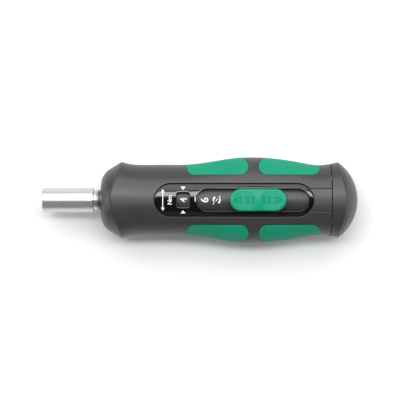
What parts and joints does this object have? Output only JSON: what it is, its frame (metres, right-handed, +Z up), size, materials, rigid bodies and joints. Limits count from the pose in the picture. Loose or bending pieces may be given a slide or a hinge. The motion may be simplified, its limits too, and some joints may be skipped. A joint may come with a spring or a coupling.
{
  "type": "torque screwdriver",
  "caption": "Slide-set torque screwdriver with an oval soft-grip handle, a value window and a steel bit holder.",
  "frame": {"origin": "on the surface that the tool lies on, under the middle of its whole length and width", "axes": "+X along the drive axis from the bit holder to the tail, +Z up towards the slide button, +Y to the left of the tool"},
  "size_m": [0.1292, 0.0352, 0.0285],
  "materials": {
    "body": "fine-grained matt",
    "inlay": "soft satin",
    "bezel": "polished",
    "strip": "satin",
    "button": "satin",
    "holder": "fine turned, nickel plated",
    "steel": "ground",
    "hardened": "hardened and oiled",
    "bush": "sintered bronze",
    "magnet": "plated"
  },
  "bodies": {
    "handle": {"handle_shell": "body", "grip_front_left": "inlay", "grip_front_right": "inlay", "grip_rear_left": "inlay", "grip_rear_right": "inlay", "scale_bezel": "bezel", "channel_cover": "body", "tail_ring": "body", "end_cap": "body", "tail_screws": "steel", "front_bush": "bush", "front_thrust_washer": "steel", "glide_washer": "bush", "clutch_barrel": "steel", "barrel_plug": "bush", "high_spring": "steel", "low_spring": "steel", "high_spring_seat": "hardened", "low_spring_seat": "hardened", "high_latch_pins": "steel", "low_latch_pins": "steel", "detent_spring": "steel"},
    "spindle": {"bit_holder": "holder", "bit_magnet": "magnet", "snap_ring": "steel", "spindle_clips": "steel", "driven_ring": "hardened", "drive_pin": "steel", "rear_thrust_washer": "steel"},
    "clutch": {"pressure_ring": "hardened", "clutch_rollers": "steel"},
    "slider": {"slide_button": "button", "button_screws": "steel", "value_strip": "strip", "selector_sleeve": "steel"}
  },
  "joints": [
    {"name": "spindle_spin", "type": "hinge", "parent": "handle", "child": "spindle", "pos_m": [-0.04055, 0, 0.0132], "axis": [1, 0, 0], "continuous": true},
    {"name": "clutch_lift", "type": "slide", "parent": "handle", "child": "clutch", "axis": [1, 0, 0], "range_m": [0, 0.0007], "stiffness_N_per_m": 40000, "springref_m": -0.005, "deforming": ["high_spring", "low_spring"]},
    {"name": "value_slide", "type": "slide", "parent": "handle", "child": "slider", "axis": [1, 0, 0], "range_m": [-0.0133, 0.0087], "deforming": ["detent_spring"]}
  ]
}
